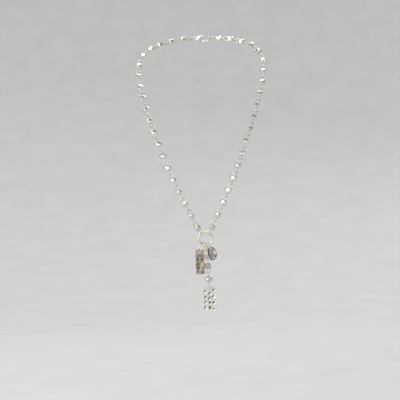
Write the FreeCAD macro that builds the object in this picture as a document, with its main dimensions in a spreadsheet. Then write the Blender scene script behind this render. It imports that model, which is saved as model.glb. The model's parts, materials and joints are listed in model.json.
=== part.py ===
import FreeCAD, Part
import math
import os

import Sketcher
from FreeCAD import Placement, Rotation, Vector

# A beaded chain necklace with a charm ring, in millimetres. The origin is the nape, at the middle
# of the clasp. +Z is up, +X is the wearer's left, and the charms hang in front, towards -Y.
# The chain is two mirror-image runs of eye-pin links, so each row of the necklace is one link on
# the left and one on the right whose pivots lie on one line along X.

ROWS = 20

DIMENSIONS = {
    "wire": (0.95, "thickness of the eye pins' wire"),
    "shank_radius": (0.446, "straight part of the eye pins, to its surface"),
    "loop_radius": (1.65, "eye-pin loop, to the middle of its wire"),
    "wire_gap": (0.14, "play between two linked loops"),
    "link_pitch": (11.6, "one link of the chain, pivot to pivot"),
    "bore_gap": (0.08, "play between a wire and the bead's bore, on radius"),
    "bead_width": (5.6, "chain bead across its flats"),
    "bead_length": (5.0, "chain bead along the wire"),
    "bead_corner": (1.1, "flat cut off every edge of the chain bead"),
    "end_loop_radius": (2.0, "the larger loop that holds the charm ring"),
    "ring_radius": (5.85, "charm ring, to the middle of its wire"),
    "ring_wire": (2.0, "thickness of the charm ring"),
    "ring_gap": (0.16, "play between the charm ring and what hangs on it"),
    "jump_radius": (2.6, "clasp's jump rings, to the middle of the wire"),
    "jump_wire": (0.9, "thickness of the clasp's jump rings"),
    "charm_wire": (1.0, "thickness of the oval charm rings"),
    "oval_radius": (2.3, "rounded ends of the oval charm rings"),
    "tag_reach": (6.0, "from the charm ring down to the tag's pivot"),
    "drop_reach": (8.75, "from the charm ring down to the drop's pivot"),
    "tag_width": (11.0, "both tags"),
    "tag_height": (21.6, "both tags"),
    "tag_thickness": (1.3, "both tags"),
    "tag_corner": (1.8, "rounded corners of both tags"),
    "tag_hole": (2.8, "hanging hole of both tags"),
    "tag_inset": (2.3, "hanging hole below the tag's top edge"),
    "tag_play": (0.4, "play between a ring and the tag's hole"),
    "rim_width": (1.0, "raised rim of the framed tag"),
    "recess_depth": (0.4, "field of the framed tag below its rim"),
    "disc_radius": (6.2, "crystal's bezel"),
    "disc_back": (0.9, "bezel behind its middle plane"),
    "disc_lip": (0.7, "bezel in front of its middle plane"),
    "bezel_wall": (0.5, "bezel wall and floor"),
    "crystal_gap": (0.05, "play between the crystal and its bezel"),
    "crystal_girdle": (0.6, "height of the crystal's edge in front of the middle plane"),
    "crystal_table": (3.1, "flat top of the crystal, to its edge"),
    "crystal_rise": (0.8, "crown of the crystal above the bezel's lip"),
    "eye_radius": (1.7, "bezel's soldered eye, to the middle of its wire"),
    "eye_solder": (0.1, "eye and rim run into each other by this much"),
    "drop_shank": (8.4, "drop's upper loop to its first bead"),
    "drop_tail": (5.95, "drop's second bead to the tag's loop"),
    "drop_bead_width": (5.0, "drop's first bead across its flats"),
    "drop_bead_corner": (0.9, "flat cut off every edge of the drop's first bead"),
    "rondelle_radius": (3.4, "drop's second bead"),
    "rondelle_face": (1.9, "flat ends of the second bead"),
    "rondelle_band": (1.2, "height of the second bead's widest part"),
    "olive_shank": (8.7, "green bead below its loop"),
    "olive_radius": (1.9, "green bead"),
    "olive_length": (6.0, "green bead along the wire"),
    "olive_face": (1.15, "flat ends of the green bead"),
    "olive_band": (2.6, "height of the green bead's widest part"),
    "pin_head": (0.9, "ball under the green bead"),
    "pin_tip": (0.3, "wire between the green bead and that ball"),
    "clasp_left": (-3.9, "left end of the clasp's body"),
    "clasp_right": (8.3, "right end of the clasp's hook"),
    "clasp_half_width": (3.3, "clasp's body"),
    "clasp_thickness": (1.6, "clasp's body"),
    "clasp_reach": (6.0, "from the nape to where either jump ring pulls"),
    "mouth_left": (-0.4, "left end of the clasp's opening"),
    "mouth_right": (6.75, "right end of the clasp's opening"),
    "mouth_half_width": (1.8, "clasp's opening"),
    "eyelet_radius": (2.1, "clasp's eyelet"),
    "eyelet_bore": (1.1, "hole in the eyelet"),
    "eyelet_thickness": (0.8, "clasp's eyelet"),
    "gate_left": (0.4, "gate cut in the clasp's lower side"),
    "gate_right": (4.4, "gate"),
    "gate_low": (-4.0, "gate"),
    "gate_high": (-1.0, "gate"),
    "slot_left": (-3.2, "slot for the lever in the clasp's root"),
    "slot_right": (0.6, "lever's slot"),
    "slot_low": (-3.6, "lever's slot"),
    "slot_high": (-0.4, "lever's slot"),
    "slot_play": (0.1, "lever's slot, wider than the lever"),
    "lever_thickness": (0.6, "tongue of the lever"),
    "tongue_left": (-2.0, "lever's tongue, round the rivet"),
    "tongue_right": (0.9, "lever's tongue"),
    "tongue_low": (-2.9, "lever's tongue"),
    "tongue_high": (-0.95, "lever's tongue"),
    "tab_left": (-2.0, "lever's thumb tab"),
    "tab_right": (-0.9, "lever's thumb tab"),
    "tab_low": (-4.5, "lever's thumb tab"),
    "tab_high": (-2.6, "lever's thumb tab"),
    "bar_left": (0.5, "lever's bar, which closes the gate"),
    "bar_right": (4.3, "lever's bar"),
    "bar_low": (-3.2, "lever's bar"),
    "bar_high": (-2.0, "lever's bar"),
    "rivet_x": (-1.2, "lever's rivet, from the nape"),
    "rivet_z": (-1.9, "lever's rivet, from the nape"),
    "rivet_radius": (0.42, "lever's rivet"),
    "rivet_gap": (0.04, "running play round the rivet"),
    "spring_radius": (1.9, "leaf spring round the rivet, its outside"),
    "spring_leaf": (0.15, "thickness of the leaf spring"),
    "spring_width": (0.5, "leaf spring along the rivet"),
}

# The line that the right-hand run follows, from the nape to the charm ring.
NAPE_X = 10.07
GUIDE = [
    Vector(NAPE_X, 0, 0),
    Vector(22, -2.5, -1.2),
    Vector(36, -9, -5.5),
    Vector(48, -18.5, -12.5),
    Vector(55, -27, -23.5),
    Vector(55.2, -34.5, -38),
    Vector(51.5, -43.5, -56),
    Vector(45.5, -52, -77),
    Vector(38, -59, -99),
    Vector(30, -64.5, -121),
    Vector(19, -68, -146.5),
    Vector(8.5, -69, -168.5),
    Vector(1, -69, -183),
]
# The loops near the nape stand upright on the neck; they turn to face forward row by row.
ROLL_STEP = 18
FRONT_ROLL = 90

# Where each charm hangs on its ring and how it is turned, in degrees.
TAG_RING_ANGLE = -30
TAG_RING_TURN = -56
TAG_RING_LEAN = 26
TAG_TURN = 45
DISC_ANGLE = 30
DISC_TURN = 51
DISC_LEAN = 14
EYE_TURN = 39
DROP_RING_TURN = 72
DROP_RING_LEAN = 8
DROP_LEAN = 1
# The drop and the green bead share one ring, this far behind and in front of its middle.
LOOP_SPACING = 0.75
OLIVE_AIM = Vector(-4.6, -2.4, -9.3)

SPRING_START = 130
SPRING_ARC = 70


def size(alias):
    """A driving dimension, in millimetres."""
    return DIMENSIONS[alias][0]


def cell(alias):
    """The same dimension as an expression."""
    return "Dimensions." + alias


# ---------------------------------------------------------------- where the pieces hang


def unit(vector):
    return vector / vector.Length


def mirrored(vector):
    return Vector(-vector.x, vector.y, vector.z)


def step_along(curve, start, length):
    """The curve's parameter at the given straight distance past the parameter start."""
    here = curve.value(start)
    low = start
    high = curve.LastParameter
    for _ in range(60):
        middle = (low + high) / 2
        if (curve.value(middle) - here).Length < length:
            low = middle
        else:
            high = middle
    return low


def pivots():
    """The right-hand run's pivots from the nape down, and one more below its last link."""
    curve = Part.BSplineCurve()
    curve.interpolate(GUIDE)
    parameter = curve.FirstParameter
    found = [curve.value(parameter)]
    for _ in range(ROWS):
        parameter = step_along(curve, parameter, size("link_pitch"))
        found.append(curve.value(parameter))
    return found


def frame_down(axis, across):
    """The turn that points local -Z along axis and keeps local X nearest to across."""
    up = unit(-axis)
    side = unit(across - up * across.dot(up))
    return Rotation(side, up.cross(side), up, "ZXY")


def half_link():
    """From a chain bead's middle to the middle of either loop."""
    return (size("link_pitch") + size("wire") + size("wire_gap")) / 2 - size("loop_radius")


def link_place(row, side):
    """Where a link's bead sits and how the link is turned. side is 1 on the right, -1 on the left."""
    top, below = RIGHT_PIVOTS[row], RIGHT_PIVOTS[row + 1]
    roll = math.radians(min(FRONT_ROLL, ROLL_STEP * row))
    across = Vector(math.sin(roll), 0, math.cos(roll))
    if side < 0:
        top, below, across = mirrored(top), mirrored(below), mirrored(across)
    axis = unit(below - top)
    middle = top + axis * (size("loop_radius") + half_link())
    return Placement(middle, frame_down(axis, across))


def ring_hold():
    """The middle of the charm ring's wire, where the right-hand run's last loop holds it."""
    top, below = RIGHT_PIVOTS[ROWS - 1], RIGHT_PIVOTS[ROWS]
    end_half = half_link() + size("end_loop_radius") - size("loop_radius")
    pin = size("loop_radius") + half_link() + end_half + size("end_loop_radius")
    seat = (size("ring_wire") + size("wire")) / 2 + size("ring_gap")
    return top + unit(below - top) * (pin - seat)


def ring_centre():
    hold = ring_hold()
    drop = math.sqrt(size("ring_radius") ** 2 - hold.x**2)
    return Vector(0, hold.y, hold.z - drop)


def on_ring(degrees):
    """The middle of the charm ring's wire, counted from its lowest point towards the right."""
    angle = math.radians(degrees)
    return ring_centre() + Vector(math.sin(angle), 0, -math.cos(angle)) * size("ring_radius")


def along_ring(degrees):
    """The direction of the charm ring's wire there."""
    angle = math.radians(degrees)
    return Vector(math.cos(angle), 0, math.sin(angle))


def charm_seat():
    """From the charm ring's wire up to the wire of what hangs on it."""
    return (size("ring_wire") + size("charm_wire")) / 2 + size("ring_gap")


def turned(degrees):
    """A level direction, counted from +X towards +Y."""
    angle = math.radians(degrees)
    return Vector(math.cos(angle), math.sin(angle), 0)


def leaning(degrees):
    """The direction down, leaning towards +X."""
    angle = math.radians(degrees)
    return Vector(math.sin(angle), 0, -math.cos(angle))


def tag_ring_place():
    return Placement(on_ring(TAG_RING_ANGLE), frame_down(leaning(-TAG_RING_LEAN), turned(TAG_RING_TURN)))


def drop_ring_place():
    return Placement(on_ring(0), frame_down(leaning(DROP_RING_LEAN), turned(DROP_RING_TURN)))


def framed_tag_pivot():
    return on_ring(TAG_RING_ANGLE) + leaning(-TAG_RING_LEAN) * size("tag_reach")


def hole_below(wire):
    """From the wire that carries a tag down to the middle of the tag's hole."""
    return size("tag_hole") / 2 - size(wire) / 2 - size("tag_play")


def framed_tag_place():
    hole = framed_tag_pivot() - Vector(0, 0, hole_below("charm_wire"))
    return Placement(hole, frame_down(Vector(0, 0, -1), turned(TAG_TURN)))


def disc_place():
    return Placement(on_ring(DISC_ANGLE), frame_down(leaning(DISC_LEAN), turned(DISC_TURN)))


def drop_seat(side, axis):
    """The pivot of a pin that hangs along axis, in front of the ring's middle (-1) or behind it (1)."""
    arc = size("oval_radius")
    rise = arc - math.sqrt(arc**2 - LOOP_SPACING**2)
    wire = drop_ring_place().multVec(Vector(side * LOOP_SPACING, 0, rise - size("drop_reach")))
    return wire - axis * ((size("charm_wire") + size("wire")) / 2 + size("ring_gap"))


def upper_drop_seat():
    return drop_seat(1, leaning(DROP_LEAN))


def upper_drop_place():
    axis = leaning(DROP_LEAN)
    middle = upper_drop_seat() + axis * (size("loop_radius") + size("drop_shank"))
    return Placement(middle, frame_down(axis, Vector(1, 0, 0)))


def lower_drop_pivot():
    """The lowest wire of the upper drop pin, which carries the lower one."""
    return upper_drop_place().Base + leaning(DROP_LEAN) * (half_link() + size("loop_radius"))


def lower_drop_place():
    rise = size("wire") + size("wire_gap") - size("loop_radius") - half_link()
    return Placement(lower_drop_pivot() + Vector(0, 0, rise), Rotation())


def hammered_tag_pivot():
    return lower_drop_place().Base - Vector(0, 0, size("drop_tail") + size("loop_radius"))


def hammered_tag_place():
    return Placement(hammered_tag_pivot() - Vector(0, 0, hole_below("wire")), Rotation())


def olive_seat():
    return drop_seat(-1, unit(OLIVE_AIM))


def olive_place():
    axis = unit(OLIVE_AIM)
    middle = olive_seat() + axis * (size("loop_radius") + size("olive_shank"))
    return Placement(middle, frame_down(axis, Vector(1, 0, 0)))


RIGHT_PIVOTS = pivots()
FINISHED = []


# ---------------------------------------------------------------- building helpers


def make_sheet(doc):
    sheet = doc.addObject("Spreadsheet::Sheet", "Dimensions")
    for row, (alias, (value, note)) in enumerate(DIMENSIONS.items(), 1):
        sheet.set(f"A{row}", note)
        sheet.set(f"B{row}", str(value))
        sheet.setAlias(f"B{row}", alias)
    doc.recompute()
    return sheet


def primitive(doc, kind, name, sizes, place=None):
    """A Part primitive whose properties follow expressions."""
    piece = doc.addObject("Part::" + kind, name)
    for key, expression in sizes.items():
        piece.setExpression(key, expression)
    if place:
        piece.Placement = place
    return piece


def joined(doc, name, pieces):
    """The pieces fused into one solid."""
    result = doc.addObject("Part::MultiFuse", name)
    result.Shapes = pieces
    result.Refine = True
    return result


def cut(doc, name, base, tool):
    result = doc.addObject("Part::Cut", name)
    result.Base = base
    result.Tool = tool
    return result


def new_body(doc, name):
    return doc.addObject("PartDesign::Body", name)


def plane_sketch(body, role, name, offset=None):
    """A sketch on one of the body's own planes, moved along its normal by an expression."""
    plane = next(p for p in body.Origin.OriginFeatures if p.Role == role)
    sketch = body.newObject("Sketcher::SketchObject", name)
    sketch.AttachmentSupport = [(plane, "")]
    sketch.MapMode = "FlatFace"
    if offset:
        sketch.setExpression("AttachmentOffset.Base.z", offset)
    return sketch


def polygon(sketch, corners):
    """A closed outline. Each corner is a pair of expressions, measured from the sketch's origin."""
    spots = [Vector(*(float(sketch.evalExpression(e)) for e in corner), 0) for corner in corners]
    first = sketch.GeometryCount
    count = len(corners)
    for here in range(count):
        sketch.addGeometry(Part.LineSegment(spots[here], spots[(here + 1) % count]), False)
    for here in range(count):
        line, after = first + here, first + (here + 1) % count
        sketch.addConstraint(Sketcher.Constraint("Coincident", line, 2, after, 1))
        for letter, expression in zip("XY", corners[here]):
            pin_down(sketch, letter, line, 1, expression)


def pin_down(sketch, letter, geometry, point, expression):
    """Hold a point's X or Y distance from the sketch's origin to an expression."""
    value = float(sketch.evalExpression(expression))
    kind = "Distance" + letter
    index = sketch.addConstraint(Sketcher.Constraint(kind, -1, 1, geometry, point, value))
    sketch.setExpression(f"Constraints[{index}]", expression)


def circle(sketch, x, y, radius):
    """A circle whose middle and radius follow expressions."""
    values = [float(sketch.evalExpression(e)) for e in (x, y, radius)]
    shape = Part.Circle(Vector(values[0], values[1], 0), Vector(0, 0, 1), values[2])
    index = sketch.addGeometry(shape, False)
    pin_down(sketch, "X", index, 3, x)
    pin_down(sketch, "Y", index, 3, y)
    held = sketch.addConstraint(Sketcher.Constraint("Radius", index, values[2]))
    sketch.setExpression(f"Constraints[{held}]", radius)


def stadium(sketch, left, right, half_width):
    """A long outline with round ends, centred on the sketch's X axis."""
    low, high, half = (float(sketch.evalExpression(e)) for e in (left, right, half_width))
    ends = [(high - half, -math.pi / 2, math.pi / 2), (low + half, math.pi / 2, 3 * math.pi / 2)]
    arcs = []
    for x, start, stop in ends:
        arc = Part.ArcOfCircle(Part.Circle(Vector(x, 0, 0), Vector(0, 0, 1), half), start, stop)
        arcs.append(sketch.addGeometry(arc, False))
    corners = [Vector(x, y, 0) for y in (half, -half) for x in (high - half, low + half)]
    top = sketch.addGeometry(Part.LineSegment(corners[0], corners[1]), False)
    base = sketch.addGeometry(Part.LineSegment(corners[3], corners[2]), False)
    for arc, start, end in ((arcs[0], base, top), (arcs[1], top, base)):
        sketch.addConstraint(Sketcher.Constraint("Tangent", start, 2, arc, 1))
        sketch.addConstraint(Sketcher.Constraint("Tangent", arc, 2, end, 1))
        sketch.addConstraint(Sketcher.Constraint("PointOnObject", arc, 3, -1))
    pin_down(sketch, "X", arcs[0], 3, f"{right} - {half_width}")
    pin_down(sketch, "X", arcs[1], 3, f"{left} + {half_width}")
    held = sketch.addConstraint(Sketcher.Constraint("Radius", arcs[0], half))
    sketch.setExpression(f"Constraints[{held}]", half_width)


def pad(body, sketch, name, thickness):
    """Material on both sides of the sketch."""
    feature = body.newObject("PartDesign::Pad", name)
    feature.Profile = sketch
    feature.Midplane = True
    feature.setExpression("Length", thickness)
    body.Document.recompute()
    return feature


def pocket(body, sketch, name, depth=None, both_sides=True):
    """A pocket of a given depth, or right through, that has to remove material."""
    before = body.Shape.Volume
    feature = body.newObject("PartDesign::Pocket", name)
    feature.Profile = sketch
    feature.Midplane = both_sides
    if depth:
        feature.setExpression("Length", depth)
    else:
        feature.Type = "ThroughAll"
    body.Document.recompute()
    if body.Shape.Volume >= before:
        raise RuntimeError(f"{name} cuts nothing from {body.Label}")
    return feature


def round_edges(body, name, radius, wanted):
    """A fillet on each edge that the function wanted accepts."""
    base = body.Tip
    edges = [f"Edge{n}" for n, edge in enumerate(base.Shape.Edges, 1) if wanted(edge)]
    feature = body.newObject("PartDesign::Fillet", name)
    feature.Base = (base, edges)
    feature.setExpression("Radius", radius)
    body.Document.recompute()
    return feature


def revolve(body, sketch, name, axis):
    """A full turn of the sketch about one of its own axes."""
    feature = body.newObject("PartDesign::Revolution", name)
    feature.Profile = sketch
    feature.ReferenceAxis = (sketch, [axis])
    feature.Angle = 360
    body.Document.recompute()
    return feature


def named(piece, label, place=None):
    """Give a finished sub-part its name and its place, and add it to what is exported."""
    piece.Label = label
    if place:
        piece.Placement = place
    FINISHED.append(piece)


# ---------------------------------------------------------------- chain


def loop_turn(facing):
    """A loop that faces forward lies in the local XZ plane, and one that is edge-on in YZ."""
    axis = Vector(1, 0, 0) if facing else Vector(0, 1, 0)
    return Rotation(axis, 90)


def loop(doc, name, radius, height, facing):
    """A closed wire loop, its middle at an expression's height on the Z axis."""
    sizes = {"Radius1": radius, "Radius2": cell("wire") + " / 2", "Placement.Base.z": height}
    ring = doc.addObject("Part::Torus", name)
    ring.Placement = Placement(Vector(), loop_turn(facing))
    for key, expression in sizes.items():
        ring.setExpression(key, expression)
    return ring


def shank(doc, name, low, high):
    """The straight wire through a bead, a little thinner than the loops it is turned into."""
    return primitive(
        doc,
        "Cylinder",
        name,
        {"Radius": cell("shank_radius"), "Height": f"({high}) - ({low})", "Placement.Base.z": low},
    )


def eye_pin(doc, name, upper, lower, facing, low_radius=None):
    """A wire with a loop at each end. upper and lower reach from the bead to the loops' middles."""
    radius = cell("loop_radius")
    low_radius = low_radius or radius
    pieces = [
        loop(doc, name + "_top", radius, upper, facing[0]),
        loop(doc, name + "_bottom", low_radius, f"-({lower})", facing[1]),
        shank(doc, name + "_shank", f"-({lower}) + {low_radius}", f"{upper} - {radius}"),
    ]
    return joined(doc, name, pieces)


def nugget(doc, name, width, length, corner):
    """A block with every edge cut off flat, and a bore along the wire."""
    body = new_body(doc, name)
    outline = plane_sketch(body, "XY_Plane", name + "_outline")
    half = f"{width} / 2"
    low = f"-{half}"
    polygon(outline, [(low, low), (half, low), (half, half), (low, half)])
    pad(body, outline, name + "_block", length)
    base = body.Tip
    facets = body.newObject("PartDesign::Chamfer", name + "_facets")
    facets.Base = (base, [f"Edge{n}" for n in range(1, len(base.Shape.Edges) + 1)])
    facets.setExpression("Size", corner)
    doc.recompute()
    hole = plane_sketch(body, "XY_Plane", name + "_bore_outline")
    circle(hole, "0", "0", bore_radius())
    pocket(body, hole, name + "_bore")
    return body


def bore_radius():
    return f"{cell('shank_radius')} + {cell('bore_gap')}"


def chain(doc):
    """Forty links: an eye pin and its bead each, as two solids."""
    pitch = f"{cell('link_pitch')} + {cell('wire')} + {cell('wire_gap')}"
    reach = f"(({pitch}) / 2 - {cell('loop_radius')})"
    end_reach = f"({reach} + {cell('end_loop_radius')} - {cell('loop_radius')})"
    bead = nugget(doc, "chain_bead", cell("bead_width"), cell("bead_length"), cell("bead_corner"))
    pin = eye_pin(doc, "chain_pin", reach, reach, (True, False))
    end_pin = eye_pin(doc, "end_pin", reach, end_reach, (True, False), cell("end_loop_radius"))
    for word, side in (("left", -1), ("right", 1)):
        for row in range(ROWS):
            label = f"link_{word}_{row + 1:02d}"
            link = doc.addObject("Part::Compound", label)
            link.Links = [end_pin if row == ROWS - 1 else pin, bead]
            named(link, label, link_place(row, side))
    return reach


# ---------------------------------------------------------------- clasp


def clasp_body(doc):
    """A flat hook with a solid root, an eyelet behind it and a gate cut in its lower side."""
    body = new_body(doc, "clasp_body")
    outline = plane_sketch(body, "XZ_Plane", "clasp_outline")
    stadium(outline, cell("clasp_left"), cell("clasp_right"), cell("clasp_half_width"))
    pad(body, outline, "clasp_plate", cell("clasp_thickness"))
    seat = f"{cell('clasp_reach')} + {cell('wire_gap')} * 2 + {cell('jump_wire')} / 2"
    eyelet_x = f"{cell('eyelet_bore')} - ({seat})"
    eyelet = plane_sketch(body, "XZ_Plane", "eyelet_outline")
    circle(eyelet, eyelet_x, "0", cell("eyelet_radius"))
    pad(body, eyelet, "eyelet", cell("eyelet_thickness"))
    opening = plane_sketch(body, "XZ_Plane", "mouth_outline")
    stadium(opening, cell("mouth_left"), cell("mouth_right"), cell("mouth_half_width"))
    pocket(body, opening, "mouth")
    hole = plane_sketch(body, "XZ_Plane", "eyelet_hole")
    circle(hole, eyelet_x, "0", cell("eyelet_bore"))
    pocket(body, hole, "eyelet_bore")
    gate = plane_sketch(body, "XZ_Plane", "gate_outline")
    polygon(gate, rectangle("gate"))
    pocket(body, gate, "gate")
    slot = plane_sketch(body, "XZ_Plane", "lever_slot_outline")
    polygon(slot, rectangle("slot"))
    pocket(body, slot, "lever_slot", f"{cell('lever_thickness')} + {cell('slot_play')}")
    rivet_hole = plane_sketch(body, "XZ_Plane", "rivet_hole_outline")
    circle(rivet_hole, cell("rivet_x"), cell("rivet_z"), cell("rivet_radius"))
    pocket(body, rivet_hole, "rivet_hole")
    named(body, "clasp_body")


def rectangle(name):
    """The four corners that a rectangle's own dimensions give."""
    left, right, low, high = (cell(f"{name}_{end}") for end in ("left", "right", "low", "high"))
    return [(left, low), (right, low), (right, high), (left, high)]


def clasp_lever(doc):
    """The gate: a bar that closes the hook, a thin tongue round the rivet and a thumb tab."""
    body = new_body(doc, "clasp_lever")
    tongue = plane_sketch(body, "XZ_Plane", "tongue_outline")
    polygon(tongue, rectangle("tongue"))
    pad(body, tongue, "tongue", cell("lever_thickness"))
    tab = plane_sketch(body, "XZ_Plane", "tab_outline")
    polygon(tab, rectangle("tab"))
    pad(body, tab, "tab", cell("lever_thickness"))
    bar = plane_sketch(body, "XZ_Plane", "bar_outline")
    polygon(bar, rectangle("bar"))
    pad(body, bar, "bar", cell("clasp_thickness"))
    hole = plane_sketch(body, "XZ_Plane", "lever_hole_outline")
    circle(hole, cell("rivet_x"), cell("rivet_z"), f"{cell('rivet_radius')} + {cell('rivet_gap')}")
    pocket(body, hole, "lever_hole")
    named(body, "clasp_lever")


def clasp_rivet(doc):
    """A pin through both cheeks, flush with them."""
    sizes = {"Radius": cell("rivet_radius"), "Height": cell("clasp_thickness")}
    rivet = primitive(doc, "Cylinder", "rivet", sizes)
    named(rivet, "clasp_rivet", rivet_place(size("clasp_thickness") / 2))


def rivet_place(front):
    """On the rivet's axis, this far behind the middle plane, with local Z towards the front."""
    return Placement(Vector(size("rivet_x"), front, size("rivet_z")), Rotation(Vector(1, 0, 0), 90))


def clasp_spring(doc):
    """A curved leaf in the lever's slot, which pushes the gate shut."""
    start = Placement(Vector(), Rotation(Vector(0, 0, 1), SPRING_START))
    outside = cell("spring_radius")
    solids = []
    for name, radius in (("outside", outside), ("inside", f"{outside} - {cell('spring_leaf')}")):
        sizes = {"Radius": radius, "Height": cell("spring_width")}
        solid = primitive(doc, "Cylinder", "spring_" + name, sizes)
        solid.Angle = SPRING_ARC
        solids.append(solid)
    leaf = cut(doc, "clasp_spring", *solids)
    named(leaf, "clasp_spring", rivet_place(size("spring_width") / 2) * start)


def jump_rings(doc):
    """Round rings in the level plane, one in the eyelet and one in the hook."""
    for word, side in (("left", -1), ("right", 1)):
        ring = primitive(
            doc,
            "Torus",
            "jump_ring_" + word,
            {"Radius1": cell("jump_radius"), "Radius2": cell("jump_wire") + " / 2"},
        )
        centre = side * (size("clasp_reach") + size("jump_radius"))
        named(ring, "jump_ring_" + word, Placement(Vector(centre, 0, 0), Rotation()))


# ---------------------------------------------------------------- charms


def charm_ring(doc):
    ring = primitive(
        doc,
        "Torus",
        "pendant_ring",
        {"Radius1": cell("ring_radius"), "Radius2": cell("ring_wire") + " / 2"},
    )
    named(ring, "pendant_ring", Placement(ring_centre(), Rotation(Vector(1, 0, 0), 90)))


def oval_ring(doc, label, reach, place):
    """An oval wire ring in the local XZ plane, hooked on a wire that crosses the local origin."""
    top = charm_seat()
    radius, wire = size("oval_radius"), size("charm_wire")
    straight = reach + top - 2 * radius
    pieces = []
    for name, height, start in (("_top", top - radius, 0), ("_bottom", radius - reach, 180)):
        arc = primitive(
            doc,
            "Torus",
            label + name,
            {"Radius1": cell("oval_radius"), "Radius2": cell("charm_wire") + " / 2"},
        )
        arc.Angle3 = 180
        turn = Rotation(Vector(1, 0, 0), 90) * Rotation(Vector(0, 0, 1), start)
        arc.Placement = Placement(Vector(0, 0, height), turn)
        pieces.append(arc)
    for name, side in (("_left", -1), ("_right", 1)):
        leg = doc.addObject("Part::Cylinder", label + name)
        leg.Radius = wire / 2
        leg.Height = straight
        leg.Placement = Placement(Vector(side * radius, 0, radius - reach), Rotation())
        pieces.append(leg)
    named(joined(doc, label, pieces), label, place)


def tag_plate(doc, name):
    """A plate with round corners, its hanging hole's middle at the local origin."""
    body = new_body(doc, name)
    outline = plane_sketch(body, "XZ_Plane", name + "_outline")
    half, top = f"{cell('tag_width')} / 2", cell("tag_inset")
    base = f"{cell('tag_inset')} - {cell('tag_height')}"
    polygon(outline, [(f"-{half}", base), (half, base), (half, top), (f"-{half}", top)])
    pad(body, outline, name + "_plate", cell("tag_thickness"))

    def corner(edge):
        return edge.BoundBox.YLength > size("tag_thickness") / 2

    round_edges(body, name + "_corners", cell("tag_corner"), corner)
    return body


def tag_hole(body, name):
    hole = plane_sketch(body, "XZ_Plane", name + "_hole_outline")
    circle(hole, "0", "0", cell("tag_hole") + " / 2")
    pocket(body, hole, name + "_hole")


def framed_tag(doc):
    """A tag with a raised rim round a sunk field. The field starts below the hanging hole."""
    body = tag_plate(doc, "framed_tag")
    front = f"{cell('tag_thickness')} / 2"
    field = plane_sketch(body, "XZ_Plane", "field_outline", front)
    half = f"({cell('tag_width')} / 2 - {cell('rim_width')})"
    top = f"-{cell('tag_hole')} / 2 - {cell('rim_width')}"
    base = f"{cell('tag_inset')} - {cell('tag_height')} + {cell('rim_width')}"
    polygon(field, [(f"-{half}", base), (half, base), (half, top), (f"-{half}", top)])
    pocket(body, field, "field", cell("recess_depth"), both_sides=False)
    tag_hole(body, "framed_tag")
    named(body, "framed_tag", framed_tag_place())


def hammered_tag(doc):
    body = tag_plate(doc, "hammered_tag")
    tag_hole(body, "hammered_tag")
    named(body, "hammered_tag", hammered_tag_place())


def disc_drop():
    """From the charm ring's wire down to the disc's middle."""
    eye_low = 2 * size("eye_radius") - charm_seat()
    return eye_low + size("disc_radius") + size("eye_solder")


def crystal_disc(doc):
    """A cup-shaped bezel with a soldered eye, and the domed crystal that fills it."""
    cup = new_body(doc, "bezel_cup")
    outline = plane_sketch(cup, "XY_Plane", "cup_outline")
    outer, wall = cell("disc_radius"), cell("bezel_wall")
    back, lip = cell("disc_back"), cell("disc_lip")
    inner = f"{outer} - {wall}"
    floor = f"{back} - {wall}"
    rim = [("0", back), (outer, back), (outer, f"-{lip}")]
    inside = [(inner, f"-{lip}"), (inner, floor), ("0", floor)]
    polygon(outline, rim + inside)
    revolve(cup, outline, "cup", "V_Axis")
    cup.Placement = Placement(Vector(0, 0, -disc_drop()), Rotation())
    eye = primitive(
        doc,
        "Torus",
        "bezel_eye",
        {"Radius1": cell("eye_radius"), "Radius2": cell("charm_wire") + " / 2"},
    )
    upright = Rotation(Vector(0, 0, 1), EYE_TURN) * Rotation(Vector(1, 0, 0), 90)
    eye.Placement = Placement(Vector(0, 0, charm_seat() - size("eye_radius")), upright)
    named(joined(doc, "bezel", [cup, eye]), "bezel", disc_place())

    stone = new_body(doc, "crystal")
    section = plane_sketch(stone, "XY_Plane", "crystal_outline")
    edge = f"{inner} - {cell('crystal_gap')}"
    seat = f"{floor} - {cell('crystal_gap')}"
    girdle = f"-{cell('crystal_girdle')}"
    top = f"-{lip} - {cell('crystal_rise')}"
    table = cell("crystal_table")
    corners = [("0", seat), (edge, seat), (edge, girdle), (table, top), ("0", top)]
    polygon(section, corners)
    revolve(stone, section, "crystal_turn", "V_Axis")
    drop = Placement(Vector(0, 0, -disc_drop()), Rotation())
    named(stone, "crystal", disc_place() * drop)


def turned_bead(doc, name, kind, length, place):
    """A bead turned from half its outline, bored along the wire."""
    half = f"{length} / 2"
    inside, face, girdle = bore_radius(), cell(kind + "_face"), cell(kind + "_radius")
    band = f"{cell(kind + '_band')} / 2"
    corners = [
        (inside, f"-{half}"),
        (face, f"-{half}"),
        (girdle, f"-{band}"),
        (girdle, band),
        (face, half),
        (inside, half),
    ]
    body = new_body(doc, name)
    section = plane_sketch(body, "XZ_Plane", name + "_outline")
    polygon(section, corners)
    revolve(body, section, name + "_turn", "V_Axis")
    named(body, name, place)


def drop(doc, reach):
    """Two beaded eye pins, one below the other, which carry the hammered tag."""
    upper = eye_pin(doc, "drop_pin_upper", cell("drop_shank"), reach, (True, True))
    named(upper, "drop_pin_upper", upper_drop_place())
    corner = cell("drop_bead_corner")
    bead = nugget(doc, "drop_bead_upper", cell("drop_bead_width"), cell("bead_length"), corner)
    named(bead, "drop_bead_upper", upper_drop_place())
    lower = eye_pin(doc, "drop_pin_lower", reach, cell("drop_tail"), (False, False))
    named(lower, "drop_pin_lower", lower_drop_place())
    turned_bead(doc, "drop_bead_lower", "rondelle", cell("bead_length"), lower_drop_place())


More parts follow.
